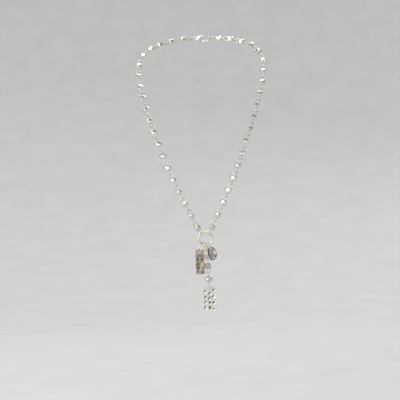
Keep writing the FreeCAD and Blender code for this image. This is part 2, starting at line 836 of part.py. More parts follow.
def olive_charm(doc):
    """A green bead on a headed pin."""
    radius = cell("loop_radius")
    low = f"-{cell('olive_length')} / 2 - {cell('pin_tip')}"
    pieces = [
        loop(doc, "olive_loop", radius, cell("olive_shank"), True),
        shank(doc, "olive_shank", low, f"{cell('olive_shank')} - {radius}"),
        primitive(doc, "Sphere", "olive_head", {"Radius": cell("pin_head")}),
    ]
    pieces[2].setExpression("Placement.Base.z", f"{low} - {cell('pin_head')} + {cell('pin_tip')}")
    named(joined(doc, "olive_pin", pieces), "olive_pin", olive_place())
    turned_bead(doc, "olive_bead", "olive", cell("olive_length"), olive_place())


# ---------------------------------------------------------------- whole necklace


def check(doc):
    """Stop if anything failed to build."""
    for thing in doc.Objects:
        if {"Invalid", "Error"} & set(thing.State):
            raise RuntimeError(f"{thing.Label} did not build: {thing.State}")
    for piece in FINISHED:
        if piece.Shape.isNull() or not piece.Shape.isValid():
            raise RuntimeError(f"{piece.Label} has no valid shape")


def main():
    doc = FreeCAD.newDocument("necklace")
    make_sheet(doc)
    reach = chain(doc)
    jump_rings(doc)
    clasp_body(doc)
    clasp_lever(doc)
    clasp_rivet(doc)
    clasp_spring(doc)
    charm_ring(doc)
    oval_ring(doc, "tag_ring", size("tag_reach"), tag_ring_place())
    oval_ring(doc, "drop_ring", size("drop_reach"), drop_ring_place())
    framed_tag(doc)
    crystal_disc(doc)
    drop(doc, reach)
    hammered_tag(doc)
    olive_charm(doc)
    doc.recompute()
    check(doc)
    os.makedirs("parts", exist_ok=True)
    for piece in FINISHED:
        piece.Shape.exportStep(f"parts/{piece.Label}.step")
        print(piece.Label, len(piece.Shape.Solids), round(piece.Shape.Volume, 2))


if __name__ == "__main__":
    main()
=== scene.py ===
import json
import math
import random

import bmesh
import bpy
from mathutils import Matrix, Vector, noise

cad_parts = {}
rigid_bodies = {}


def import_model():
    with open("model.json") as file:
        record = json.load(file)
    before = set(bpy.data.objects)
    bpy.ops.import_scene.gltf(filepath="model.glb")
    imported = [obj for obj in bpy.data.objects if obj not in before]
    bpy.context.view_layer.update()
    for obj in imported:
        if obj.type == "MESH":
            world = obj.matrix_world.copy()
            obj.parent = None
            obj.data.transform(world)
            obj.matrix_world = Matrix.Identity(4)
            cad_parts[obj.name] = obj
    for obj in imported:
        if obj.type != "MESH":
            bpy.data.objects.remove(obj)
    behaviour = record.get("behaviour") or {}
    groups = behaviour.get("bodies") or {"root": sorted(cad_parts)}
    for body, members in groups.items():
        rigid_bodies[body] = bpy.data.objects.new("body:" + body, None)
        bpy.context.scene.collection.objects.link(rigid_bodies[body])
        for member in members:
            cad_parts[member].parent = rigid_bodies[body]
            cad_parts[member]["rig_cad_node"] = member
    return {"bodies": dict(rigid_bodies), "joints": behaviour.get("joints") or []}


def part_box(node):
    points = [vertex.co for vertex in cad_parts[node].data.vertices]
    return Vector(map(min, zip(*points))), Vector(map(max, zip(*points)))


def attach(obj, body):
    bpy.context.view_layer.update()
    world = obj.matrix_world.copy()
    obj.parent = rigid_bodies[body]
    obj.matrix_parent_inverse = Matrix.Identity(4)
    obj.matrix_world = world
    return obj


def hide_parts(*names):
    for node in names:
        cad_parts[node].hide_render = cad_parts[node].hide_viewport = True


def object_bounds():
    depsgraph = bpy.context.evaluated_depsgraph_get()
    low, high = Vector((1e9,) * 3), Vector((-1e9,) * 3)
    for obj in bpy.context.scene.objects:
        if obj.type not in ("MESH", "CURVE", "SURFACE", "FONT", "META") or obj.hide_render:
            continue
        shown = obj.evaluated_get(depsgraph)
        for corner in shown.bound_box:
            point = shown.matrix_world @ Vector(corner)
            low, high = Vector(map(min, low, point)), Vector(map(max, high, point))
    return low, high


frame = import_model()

# The looks of a beaded chain necklace with a charm ring. Each piece is built in millimetres about its
# own local origin, and then placed in metres where the frame's joints and boxes say.

MM = 0.001
LEFT, RIGHT = "left", "right"

for name in ("Cube", "Light", "Camera"):
    leftover = bpy.data.objects.get(name)
    if leftover and "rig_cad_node" not in leftover:
        bpy.data.objects.remove(leftover)
cad_low, cad_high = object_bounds()

JOINTS = {joint["name"]: Vector(joint["pos_m"]) for joint in frame["joints"]}
ROWS = sum(name.startswith("link_left_") for name in frame["bodies"])


# ---------------------------------------------------------------- places


def frame_down(origin, axis, across):
    """The place whose local -Z points along axis and whose local X is nearest to across."""
    up = -axis.normalized()
    side = (across - up * across.dot(up)).normalized()
    turn = Matrix((side, up.cross(side), up)).transposed().to_4x4()
    return Matrix.Translation(origin) @ turn


def middle(node):
    low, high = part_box(node)
    return (low + high) / 2


def leaning(degrees):
    """The direction down, leaning towards +X."""
    angle = math.radians(degrees)
    return Vector((math.sin(angle), 0, -math.cos(angle)))


def turned(degrees):
    """A level direction, counted from +X towards +Y."""
    angle = math.radians(degrees)
    return Vector((math.cos(angle), math.sin(angle), 0))


# ---------------------------------------------------------------- mesh tools


def ring_frames(path, closed):
    """Two directions across the path at each point, carried along it without twisting."""
    count = len(path)
    tangents = []
    for here in range(count):
        if closed:
            ahead, behind = path[(here + 1) % count], path[here - 1]
        else:
            ahead, behind = path[min(here + 1, count - 1)], path[max(here - 1, 0)]
        tangents.append((ahead - behind).normalized())
    first = tangents[0]
    guess = Vector((0, 0, 1)) if abs(first.z) < 0.8 else Vector((1, 0, 0))
    normal = (guess - first * guess.dot(first)).normalized()
    frames = []
    for here, tangent in enumerate(tangents):
        if here:
            turn = tangents[here - 1].rotation_difference(tangent)
            normal = turn @ normal
        normal = (normal - tangent * normal.dot(tangent)).normalized()
        frames.append((normal, tangent.cross(normal)))
    return frames


def add_ring(bm, centre, frame_pair, radius, sides):
    across, over = frame_pair
    verts = []
    for side in range(sides):
        angle = math.tau * side / sides
        verts.append(bm.verts.new(centre + (across * math.cos(angle) + over * math.sin(angle)) * radius))
    return verts


def bridge(bm, low, high):
    count = len(low)
    for here in range(count):
        after = (here + 1) % count
        bm.faces.new((low[here], low[after], high[after], high[here]))


def sweep(bm, path, radius, sides=12, closed=False):
    """A round wire along a path. Open ends are cut flat with a small round-over."""
    frames = ring_frames(path, closed)
    rings = []
    if not closed:
        into = (path[1] - path[0]).normalized()
        rings.append(add_ring(bm, path[0] - into * radius * 0.12, frames[0], radius * 0.8, sides))
    for point, pair in zip(path, frames):
        rings.append(add_ring(bm, point, pair, radius, sides))
    if not closed:
        out = (path[-1] - path[-2]).normalized()
        rings.append(add_ring(bm, path[-1] + out * radius * 0.12, frames[-1], radius * 0.8, sides))
    for low, high in zip(rings, rings[1:]):
        bridge(bm, low, high)
    if closed:
        bridge(bm, rings[-1], rings[0])
    else:
        bm.faces.new(list(reversed(rings[0])))
        bm.faces.new(rings[-1])


def lathe(bm, profile, segments=48, squareness=None):
    """A solid turned about local Z. The profile is pairs of radius and height, from low to high."""
    rings = []
    for radius, height in profile:
        ring = []
        for step in range(segments):
            angle = math.tau * step / segments
            reach = radius * (squareness(angle, height) if squareness else 1)
            ring.append(bm.verts.new((reach * math.cos(angle), reach * math.sin(angle), height)))
        rings.append(ring)
    for low, high in zip(rings, rings[1:]):
        bridge(bm, low, high)
    return rings


def cap(bm, rings):
    bm.faces.new(list(reversed(rings[0])))
    bm.faces.new(rings[-1])


def cut_to_planes(bm, planes, size):
    """A block cut down to planes, each a normal and a distance from the origin."""
    bmesh.ops.create_cube(bm, size=size)
    for normal, distance in planes:
        parts = bm.verts[:] + bm.edges[:] + bm.faces[:]
        result = bmesh.ops.bisect_plane(
            bm, geom=parts, plane_co=normal * distance, plane_no=normal, clear_outer=True
        )
        edges = [part for part in result["geom_cut"] if isinstance(part, bmesh.types.BMEdge)]
        if edges:
            bmesh.ops.contextual_create(bm, geom=edges)


def soften(bm, width, segments=2):
    """Round the sharp edges of a solid."""
    sharp = [edge for edge in bm.edges if edge.is_manifold and edge.calc_face_angle(0) > 0.2]
    bevel(bm, sharp, width, segments)


def bevel(bm, edges, width, segments):
    bmesh.ops.bevel(
        bm,
        geom=edges,
        offset=width,
        offset_type="OFFSET",
        segments=segments,
        profile=0.5,
        affect="EDGES",
        clamp_overlap=True,
    )


def remeshed(bm, voxel):
    """The same solid with an even skin of small faces."""
    rough = bpy.data.meshes.new("rough")
    bm.to_mesh(rough)
    bm.free()
    holder = bpy.data.objects.new("rough", rough)
    bpy.context.scene.collection.objects.link(holder)
    modifier = holder.modifiers.new("Remesh", "REMESH")
    modifier.mode = "VOXEL"
    modifier.voxel_size = voxel
    modifier.adaptivity = 0
    graph = bpy.context.evaluated_depsgraph_get()
    even = bpy.data.meshes.new_from_object(holder.evaluated_get(graph))
    bpy.data.objects.remove(holder)
    result = bmesh.new()
    result.from_mesh(even)
    bpy.data.meshes.remove(even)
    bpy.data.meshes.remove(rough)
    return result


def patina_layer(bm):
    """How dark each point's tarnish is, from 0 to 1."""
    return bm.verts.layers.float.get("patina") or bm.verts.layers.float.new("patina")


def piece(name, bm, place, body, nodes, material, sharp_from=40):
    """Put a finished solid in the scene, riding on its body and standing for its CAD nodes."""
    bmesh.ops.recalc_face_normals(bm, faces=bm.faces[:])
    for face in bm.faces:
        face.smooth = True
    mesh = bpy.data.meshes.new(name)
    bm.to_mesh(mesh)
    bm.free()
    mesh.transform(place @ Matrix.Scale(MM, 4))
    mesh.set_sharp_from_angle(angle=math.radians(sharp_from))
    mesh.materials.append(material)
    made = bpy.data.objects.new(name, mesh)
    bpy.context.scene.collection.objects.link(made)
    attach(made, body)
    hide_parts(*nodes)
    return made


# ---------------------------------------------------------------- materials


class Nodes:
    """A material's node tree, with short calls for the nodes that the materials share."""

    def __init__(self, name):
        self.material = bpy.data.materials.new(name)
        self.material.use_nodes = True
        self.tree = self.material.node_tree
        self.shader = self.tree.nodes["Principled BSDF"]
        coordinates = self.add("ShaderNodeTexCoord")
        scale = self.add("ShaderNodeVectorMath")
        scale.operation = "SCALE"
        scale.inputs["Scale"].default_value = 1 / MM
        self.link(coordinates.outputs["Object"], scale.inputs[0])
        self.place = scale.outputs[0]

    def add(self, kind):
        return self.tree.nodes.new(kind)

    def link(self, source, target):
        self.tree.links.new(source, target)

    def noise(self, scale, detail=3, roughness=0.5, stretch=None, distortion=0):
        """Noise whose scale counts features per millimetre."""
        node = self.add("ShaderNodeTexNoise")
        node.inputs["Scale"].default_value = scale
        node.inputs["Detail"].default_value = detail
        node.inputs["Roughness"].default_value = roughness
        node.inputs["Distortion"].default_value = distortion
        source = self.place
        if stretch:
            mapping = self.add("ShaderNodeMapping")
            mapping.inputs["Scale"].default_value = stretch
            self.link(source, mapping.inputs["Vector"])
            source = mapping.outputs["Vector"]
        self.link(source, node.inputs["Vector"])
        return node.outputs["Fac"]

    def spread(self, source, low, high, to_low, to_high):
        node = self.add("ShaderNodeMapRange")
        node.inputs["From Min"].default_value = low
        node.inputs["From Max"].default_value = high
        node.inputs["To Min"].default_value = to_low
        node.inputs["To Max"].default_value = to_high
        self.link(source, node.inputs["Value"])
        return node.outputs["Result"]

    def math(self, operation, first, second):
        node = self.add("ShaderNodeMath")
        node.operation = operation
        for index, value in enumerate((first, second)):
            if isinstance(value, (int, float)):
                node.inputs[index].default_value = value
            else:
                self.link(value, node.inputs[index])
        return node.outputs[0]

    def mix(self, amount, first, second):
        """A blend of two colours, each a triple or a socket."""
        node = self.add("ShaderNodeMix")
        node.data_type = "RGBA"
        self.link(amount, node.inputs["Factor"])
        for key, value in (("A", first), ("B", second)):
            socket = next(s for s in node.inputs if s.name == key and s.type == "RGBA")
            if isinstance(value, tuple):
                socket.default_value = (*value, 1)
            else:
                self.link(value, socket)
        return next(s for s in node.outputs if s.type == "RGBA")

    def attribute(self, name):
        node = self.add("ShaderNodeAttribute")
        node.attribute_name = name
        return node.outputs["Fac"]

    def edges(self, low, high):
        """0 in hollows and on flats, 1 on raised edges."""
        node = self.add("ShaderNodeNewGeometry")
        return self.spread(node.outputs["Pointiness"], low, high, 0, 1)

    def bump(self, height, strength, depth, under=None):
        node = self.add("ShaderNodeBump")
        node.inputs["Strength"].default_value = strength
        node.inputs["Distance"].default_value = depth * MM
        self.link(height, node.inputs["Height"])
        if under:
            self.link(under, node.inputs["Normal"])
        return node.outputs["Normal"]

    def set(self, **values):
        for key, value in values.items():
            socket = self.shader.inputs[key.replace("_", " ")]
            if isinstance(value, (int, float, tuple)):
                socket.default_value = value
            else:
                self.link(value, socket)


def metal(name, light, dull, tarnish, polish, grain, wear):
    """Worn metal: two tones in patches, tarnish in the hollows, rubbed edges and fine scratches."""
    nodes = Nodes(name)
    patches = nodes.noise(0.45, detail=4, roughness=0.6)
    fine = nodes.noise(5.5, detail=5, roughness=0.65)
    body = nodes.mix(nodes.spread(patches, 0.35, 0.68, 0, 1), light, dull)
    speckled = nodes.math("MULTIPLY", nodes.attribute("patina"), nodes.spread(fine, 0.25, 0.6, 0.55, 1))
    tarnished = nodes.mix(speckled, body, tarnish)
    rubbed = nodes.math("MULTIPLY", nodes.edges(0.52, 0.62), wear)
    bright = tuple(min(1, channel * 1.12) for channel in light)
    colour = nodes.mix(rubbed, tarnished, bright)
    rough = nodes.spread(fine, 0.3, 0.7, polish * 0.75, polish * 1.45)
    rough = nodes.math("ADD", rough, nodes.math("MULTIPLY", speckled, 0.3))
    scratches = nodes.noise(3.5, detail=2, stretch=(1, 1, 9), distortion=0.4)
    height = nodes.math("ADD", nodes.math("MULTIPLY", fine, 0.5), scratches)
    nodes.set(
        Base_Color=colour, Metallic=1.0, Roughness=rough, Normal=nodes.bump(height, grain, 0.02)
    )
    return nodes.material


CHAIN_SILVER = metal(
    "chain_silver", (0.82, 0.8, 0.75), (0.58, 0.56, 0.5), (0.1, 0.09, 0.07), 0.17, 0.45, 0.7
)
FACET_SILVER = metal(
    "faceted_silver", (0.9, 0.89, 0.84), (0.64, 0.62, 0.55), (0.08, 0.07, 0.055), 0.16, 0.4, 0.8
)
CLASP_SILVER = metal(
    "clasp_silver", (0.78, 0.77, 0.74), (0.56, 0.55, 0.51), (0.12, 0.11, 0.1), 0.15, 0.4, 0.7
)
CHAMPAGNE = metal(
    "champagne", (0.94, 0.86, 0.75), (0.76, 0.66, 0.54), (0.2, 0.14, 0.09), 0.24, 0.4, 0.6
)
PEWTER = metal(
    "antique_pewter", (0.9, 0.83, 0.77), (0.64, 0.57, 0.51), (0.06, 0.045, 0.035), 0.26, 0.6, 0.9
)
HAMMERED = metal(
    "hammered_silver", (0.94, 0.93, 0.88), (0.74, 0.72, 0.66), (0.045, 0.04, 0.032), 0.24, 0.5, 0.8
)
BEZEL_SILVER = metal(
    "bezel_silver", (0.86, 0.84, 0.8), (0.64, 0.62, 0.57), (0.1, 0.09, 0.07), 0.14, 0.35, 0.7
)


def glass(name, light, deep, clarity, index):
    """Cut glass: uneven tint and faint surface haze."""
    nodes = Nodes(name)
    clouds = nodes.noise(0.5, detail=3)
    haze = nodes.noise(2.5, detail=4, roughness=0.6)
    tint = nodes.mix(nodes.spread(clouds, 0.35, 0.65, 0, 1), light, deep)
    rough = nodes.spread(haze, 0.4, 0.75, clarity, clarity * 4)
    nodes.set(
        Base_Color=tint,
        Roughness=rough,
        IOR=index,
        Transmission_Weight=1.0,
        Normal=nodes.bump(haze, 0.15, 0.01),
    )
    return nodes.material


SMOKY = glass("smoky_crystal", (0.97, 0.97, 0.97), (0.84, 0.85, 0.86), 0.02, 1.56)
OLIVE = glass("olive_crystal", (0.95, 0.94, 0.74), (0.86, 0.85, 0.56), 0.03, 1.54)


# ---------------------------------------------------------------- eye pins

WIRE = 0.46
LOOP = 1.65
END_LOOP = 2.0
HALF_LINK = 4.695
LOOP_STOP = 172
PINCH_FROM, PINCH_OVER = 112, 68
NECK_PINCH, TIP_PINCH = 0.5, 0.34


def loop_path(radius, height, steps=40):
    """A teardrop loop in its own plane: pairs of sideways and height, from the neck round to the tip."""
    path = []
    stop = math.radians(LOOP_STOP)
    for step in range(steps + 1):
        share = step / steps
        angle = -math.pi + share * (math.pi + stop)
        near = max(0, (abs(math.degrees(angle)) - PINCH_FROM) / PINCH_OVER)
        pinch = near * near * (3 - 2 * near)
        reach = radius + pinch * (NECK_PINCH if angle < 0 else TIP_PINCH)
        side = reach * math.sin(angle)
        if angle > 0:
            side += pinch * WIRE * 1.15
        path.append((side, height + reach * math.cos(angle)))
    return path


def eye_pin_path(top_radius, top, top_facing, low_radius, low, low_facing, rng):
    """The whole bent wire of an eye pin, from the lower loop's tip to the upper loop's tip."""

    def placed(pairs, facing, flip):
        swap = rng.choice((-1, 1))
        for side, height in pairs:
            across = side * swap
            up = -height if flip else height
            yield Vector((across, 0, up)) if facing else Vector((0, across, up))

    lower = list(placed(loop_path(low_radius, low), low_facing, True))
    upper = list(placed(loop_path(top_radius, top), top_facing, False))
    return list(reversed(lower)) + upper


def eye_pin(rng, top=HALF_LINK, low=HALF_LINK, low_radius=LOOP, top_facing=True, low_facing=False):
    bm = bmesh.new()
    path = eye_pin_path(LOOP, top, top_facing, low_radius, low, low_facing, rng)
    sweep(bm, path, WIRE, sides=12)
    return bm


# ---------------------------------------------------------------- chain


BEAD_WIDTH = 5.4
BEAD_LENGTH = 5.0
BEAD_ROUNDING = 3.21
BEAD_WOBBLE = 0.07
BEAD_TURN = 0.12


def facet_planes(rng):
    """A rounded block's facets: six faces, twelve edge facets and eight corner facets."""
    planes = []
    for x in (-1, 0, 1):
        for y in (-1, 0, 1):
            for z in (-1, 0, 1):
                kind = abs(x) + abs(y) + abs(z)
                if not kind:
                    continue
                normal = Vector((x, y, z)).normalized()
                if kind > 1:
                    tilt = Vector([rng.uniform(-1, 1) for _ in range(3)]) * BEAD_WOBBLE
                    normal = (normal + tilt).normalized()
                if kind == 1:
                    distance = BEAD_LENGTH / 2 if z else BEAD_WIDTH / 2
                else:
                    distance = BEAD_ROUNDING * (0.955 if kind == 2 else 0.985)
                distance *= 1 - rng.uniform(0, BEAD_WOBBLE * 0.25)
                planes.append((normal, distance))
    return planes


def add_tarnish_near_axis(bm):
    """Tarnish gathers where the wire enters a bead."""
    patina = patina_layer(bm)
    for vert in bm.verts:
        out = math.hypot(vert.co.x, vert.co.y)
        end = abs(vert.co.z) / (BEAD_LENGTH / 2)
        vert[patina] = max(0, min(1, (end - 0.8) * 4)) * max(0, 1 - out / 2.2)


def chain_bead(rng):
    bm = bmesh.new()
    cut_to_planes(bm, facet_planes(rng), 8)
    soften(bm, 0.16)
    bmesh.ops.subdivide_edges(bm, edges=bm.edges[:], cuts=1, use_grid_fill=True)
    add_tarnish_near_axis(bm)
    turn = Matrix.Rotation(rng.uniform(-BEAD_TURN, BEAD_TURN), 4, "Z")
    bmesh.ops.transform(bm, matrix=turn, verts=bm.verts[:])
    return bm


RING_RADIUS = 5.85
RING_WIRE = 0.98
RING_CENTRE = middle("pendant_ring")


def link_place(row, side):
    """Where a link's bead sits, from its own joint and the next one down."""
    word = RIGHT if side > 0 else LEFT
    top = JOINTS[f"link_{word}_{row + 1:02d}_swing"]
    if row + 1 < ROWS:
        below = JOINTS[f"link_{word}_{row + 2:02d}_swing"]
    else:
        below = ring_hold(side)
    roll = math.radians(min(90, 18 * row))
    across = Vector((math.sin(roll) * side, 0, math.cos(roll)))
    axis = (below - top).normalized()
    return frame_down(top + axis * (LOOP + HALF_LINK) * MM, axis, across)


def ring_hold(side):
    """Where a run's last loop holds the charm ring's wire."""
    hold = JOINTS["pendant_ring_swing"].copy()
    rise = hold.z - RING_CENTRE.z
    hold.x = side * math.sqrt((RING_RADIUS * MM) ** 2 - rise**2)
    return hold


def chain():
    rng = random.Random(7)
    for side, word in ((-1, LEFT), (1, RIGHT)):
        for row in range(ROWS):
            node = f"link_{word}_{row + 1:02d}"
            place = link_place(row, side)
            last = row == ROWS - 1
            low = HALF_LINK + (END_LOOP - LOOP if last else 0)
            pin = eye_pin(rng, low=low, low_radius=END_LOOP if last else LOOP)
            number = f"{word}_{row + 1:02d}"
            piece("pin_" + number, pin, place, node, [node], CHAIN_SILVER, 60)
            bead = chain_bead(rng)
            piece("bead_" + number, bead, place, node, [node], FACET_SILVER, 30)


chain()


# ---------------------------------------------------------------- rings


def arc(radius, start, stop, steps, height=0):
    """Points of an arc in the local XZ plane, counted from the top towards +X."""
    points = []
    for step in range(steps + 1):
        angle = math.radians(start + (stop - start) * step / steps)
        points.append(Vector((radius * math.sin(angle), 0, height + radius * math.cos(angle))))
    return points


def round_ring(name, radius, wire, seam, place, body, material):
    """A bent wire ring whose two ends meet at a fine cut."""
    bm = bmesh.new()
    gap = math.degrees(0.05 / radius)
    steps = max(48, int(radius * 16))
    sweep(bm, arc(radius, seam + gap, seam + 360 - gap, steps), wire, sides=24)
    tarnish_around_seam(bm, radius, seam)
    piece(name, bm, place, body, [name], material, 50)


def tarnish_around_seam(bm, radius, seam):
    patina = patina_layer(bm)
    angle = math.radians(seam)
    spot = Vector((radius * math.sin(angle), 0, radius * math.cos(angle)))
    for vert in bm.verts:
        vert[patina] = max(0, 1 - (vert.co - spot).length / 1.1)


def oval_ring(name, reach, place, body):
    """A long ring of round wire, open at a fine cut half way up one leg."""
    bm = bmesh.new()
    radius, top = OVAL_RADIUS, CHARM_SEAT
    cut = (top - reach) / 2
    path = [Vector((radius, 0, cut + 0.05)), Vector((radius, 0, top - radius))]
    path += arc(radius, 90, -90, 28, top - radius)[1:]
    path += arc(radius, 270, 90, 28, radius - reach)
    path.append(Vector((radius, 0, cut - 0.05)))
    sweep(bm, path, CHARM_WIRE, sides=18)
    patina = patina_layer(bm)
    for vert in bm.verts:
        ends = min(abs(vert.co.z - top), abs(vert.co.z + reach))
        vert[patina] = 0.6 * max(0, 1 - ends / 1.6) * (vert.co.x ** 2 < 2.2)
    piece(name, bm, place, body, [name], CHAMPAGNE, 50)


JUMP_RADIUS = 2.6
JUMP_WIRE = 0.45
CHARM_WIRE = 0.5
CHARM_SEAT = 1.66
OVAL_RADIUS = 2.3
TAG_REACH = 6.0
DROP_REACH = 8.75
LYING = Matrix.Rotation(math.radians(90), 4, "X")
TAG_RING_PLACE = frame_down(JOINTS["tag_ring_swing"], leaning(-26), turned(-56))
DROP_RING_PLACE = frame_down(JOINTS["drop_ring_swing"], leaning(8), turned(72))


def rings():
    name = "pendant_ring"
    ring_place = Matrix.Translation(RING_CENTRE)
    round_ring(name, RING_RADIUS, RING_WIRE, 62, ring_place, name, CHAMPAGNE)
    oval_ring("tag_ring", TAG_REACH, TAG_RING_PLACE, "tag_ring")
    oval_ring("drop_ring", DROP_REACH, DROP_RING_PLACE, "drop_ring")
    for word in (LEFT, RIGHT):
        node = "jump_ring_" + word
        place = Matrix.Translation(middle(node)) @ LYING
        seam = 200 if word == LEFT else 160
        round_ring(node, JUMP_RADIUS, JUMP_WIRE, seam, place, node, CLASP_SILVER)


rings()


# ---------------------------------------------------------------- tags

TAG_WIDE = 11.0
TAG_HIGH = 21.6
TAG_HALF = 0.65
TAG_TOP = 2.3
TAG_HOLE = 1.4
TAG_CORNER = 1.8
FRAMED_DROP = 0.5
HAMMERED_DROP = 0.525


def tag_edge(x, z):
    """How far a point of the tag's face lies inside its outline."""
    across = abs(x) - (TAG_WIDE / 2 - TAG_CORNER)
    along = abs(z - (TAG_TOP - TAG_HIGH / 2)) - (TAG_HIGH / 2 - TAG_CORNER)
    outside = math.hypot(max(across, 0), max(along, 0)) + min(max(across, along), 0)
    return TAG_CORNER - outside


def smooth(value, low, high):
    share = max(0, min(1, (value - low) / (high - low)))
    return share * share * (3 - 2 * share)


def arc_points(x, z, radius, start, stop, steps):
    """Pairs of X and Z along an arc, counted from +X towards +Z."""
    points = []
    for step in range(steps + 1):
        angle = math.radians(start + (stop - start) * step / steps)
        points.append((x + radius * math.cos(angle), z + radius * math.sin(angle)))
    return points


def tag_blank(skin):
    """A flat plate with round corners and its hole, skinned evenly."""
    bm = bmesh.new()
    outline = []
    for corner, (x, z) in enumerate(((1, 1), (-1, 1), (-1, -1), (1, -1))):
        middle_x = x * (TAG_WIDE / 2 - TAG_CORNER)
        middle_z = TAG_TOP - TAG_HIGH / 2 + z * (TAG_HIGH / 2 - TAG_CORNER)
        outline += arc_points(middle_x, middle_z, TAG_CORNER, corner * 90, corner * 90 + 90, 8)
    hole = arc_points(0, 0, TAG_HOLE, 0, 360, 36)[:-1]
    loops = []
    for y in (-TAG_HALF, TAG_HALF):
        level = [[bm.verts.new((x, y, z)) for x, z in points] for points in (outline, hole)]
        edges = []
        for ring in level:
            edges += [bm.edges.new((ring[n], ring[(n + 1) % len(ring)])) for n in range(len(ring))]
        bmesh.ops.triangle_fill(bm, use_beauty=True, use_dissolve=False, edges=edges)
        loops.append(level)
    for low, high in zip(*loops):
        bridge(bm, low, high)
    bmesh.ops.recalc_face_normals(bm, faces=bm.faces[:])
    return remeshed(bm, skin)


def carve_tag(bm, front, back, edge_round):
    """Push both faces of a tag inwards. front and back give depth and tarnish at a point."""
    patina = patina_layer(bm)
    for vert in bm.verts:
        x, y, z = vert.co
        inset = min(tag_edge(x, z), math.hypot(x, z) - TAG_HOLE)
        rolled = edge_round * (1 - smooth(inset, -0.05, edge_round * 1.6)) ** 2
        depth, dark = front(x, z) if y < 0 else back(x, z)
        share = min(1, abs(y) / TAG_HALF)
        vert.co.y = y - math.copysign((depth + rolled) * share, y)
        vert[patina] = max(0, min(1, dark))
    return bm


def dimple(x, z, spot, wide, high):
    """How deep inside an oval dimple the point is, from 0 at its edge to 1 in the middle."""
    off = math.hypot((x - spot[0]) / wide, (z - spot[1]) / high)
    return max(0, 1 - off * off)


def ragged_pit(x, z, spot, wide, high):
    """A dimple with an uneven outline."""
    shift = Vector((x * 1.1, spot[1], z * 1.1))
    along = x + 0.45 * noise.noise(shift)
    down = z + 0.45 * noise.noise(shift + Vector((0, 7, 0)))
    return dimple(along, down, spot, wide, high)


def framed_field(rng):
    """Pairs of pits in rows, with a ridge down the middle and a drop-shaped hollow on top."""
    pits = []
    for row in range(4):
        for column in (-1, 1):
            spot = (column * 2.15 + rng.uniform(-0.4, 0.4), -6.8 - row * 3.45 + rng.uniform(-0.5, 0.5))
            pits.append((spot, rng.uniform(1.0, 1.5), rng.uniform(1.1, 1.7), rng.uniform(0.24, 0.34)))

    def front(x, z):
        inset = tag_edge(x, z)
        field = smooth(inset, 0.75, 1.35) * smooth(-z, 1.9, 2.7)
        depth = 0.22 * field
        dark = 0.22 * field
        for spot, wide, high, deep in pits:
            inside = ragged_pit(x, z, spot, wide, high)
            depth += deep * smooth(inside, 0, 0.75) * field
            dark += 0.75 * smooth(inside, 0.05, 0.7)
        hollow = dimple(x, z, (0.15, -3.7), 1.0 + 0.25 * (z + 3.7), 1.5)
        depth += 0.25 * smooth(hollow, 0, 0.7) * field
        dark += 0.9 * smooth(hollow, 0.05, 0.6)
        crest = math.exp(-(((x + 0.1 * math.sin(z * 1.3)) / 0.42) ** 2)) * field
        depth -= 0.16 * crest * (1 - smooth(hollow, 0, 0.2))
        wave = 0.05 * noise.noise(Vector((x * 0.9, 3.1, z * 0.9)))
        dark += 0.5 * (1 - smooth(abs(inset - 1.05), 0, 0.35)) * smooth(-z, 1.9, 2.7)
        return max(0, depth + 0.03 + wave), dark * (1 - 0.8 * crest)

    return front


def worn_back(x, z):
    """A plain back with long shallow hammer marks."""
    wave = noise.noise(Vector((x * 0.55, 9.0, z * 0.4)))
    fine = noise.noise(Vector((x * 1.7, 5.0, z * 1.7)))
    return 0.06 + 0.05 * wave + 0.015 * fine, 0.6 * smooth(-wave, -0.1, 0.5)


def framed_tag():
    rng = random.Random(21)
    bm = carve_tag(tag_blank(0.15), framed_field(rng), worn_back, 0.22)
    hole = JOINTS["framed_tag_swing"] - Vector((0, 0, FRAMED_DROP * MM))
    place = frame_down(hole, Vector((0, 0, -1)), turned(45))
    name = "framed_tag"
    piece(name, bm, place, name, [name], PEWTER, 60)


def hammered_marks(rng):
    """Three columns of planishing marks, each with a dark pit: its place, size, slant and depth."""
    marks = []
    columns = ((-3.6, -2.0, 4.4), (0.05, -3.4, 4.1), (3.5, -0.6, 5.5))
    for column, (across, first, spacing) in enumerate(columns):
        for row in range(4):
            spot = (across + rng.uniform(-0.3, 0.3), first - row * spacing + rng.uniform(-0.3, 0.3))
            wide, high = (0.95, 1.35) if column == 1 else (1.35, 0.75)
            size = rng.uniform(0.8, 1.1)
            slant = rng.uniform(-0.7, 0.7)
            marks.append((spot, wide * size, high * size, slant, rng.uniform(0.16, 0.26)))
    return marks


def hammered_field(rng):
    """Planished all over between the pits, inside a raised wavy edge."""
    marks = hammered_marks(rng)

    def front(x, z):
        inset = tag_edge(x, z) + 0.35 * noise.noise(Vector((x * 0.7, 1.0, z * 0.7)))
        field = smooth(inset, 0.25, 1.1)
        facets = noise.noise(Vector((x * 0.55, 4.0, z * 0.45)))
        depth = 0.06 + 0.12 * field + 0.1 * facets * field
        dark = 0.0
        for (across, along), wide, high, slant, deep in marks:
            skewed = x + (z - along) * slant
            depth += deep * smooth(dimple(x, z, (across, along), 1.9, 1.9), 0, 1) * field
            inside = ragged_pit(skewed, z, (across, along), wide, high)
            depth += 0.16 * smooth(inside, 0, 0.6) * field
            dark += smooth(inside, 0.0, 0.45) * smooth(inset, 0.3, 0.9)
        near_hole = math.hypot(x, z) - TAG_HOLE
        depth *= smooth(near_hole, 0.05, 0.9)
        dark += 0.8 * (1 - smooth(near_hole, 0, 0.35)) * (z < 0.4)
        return max(0, depth), dark

    return front


def hammered_tag():
    rng = random.Random(5)
    bm = carve_tag(tag_blank(0.14), hammered_field(rng), worn_back, 0.24)
    hole = JOINTS["hammered_tag_swing"] - Vector((0, 0, HAMMERED_DROP * MM))
    name = "hammered_tag"
    piece(name, bm, Matrix.Translation(hole), name, [name], HAMMERED, 60)


framed_tag()
hammered_tag()


# ---------------------------------------------------------------- crystal disc

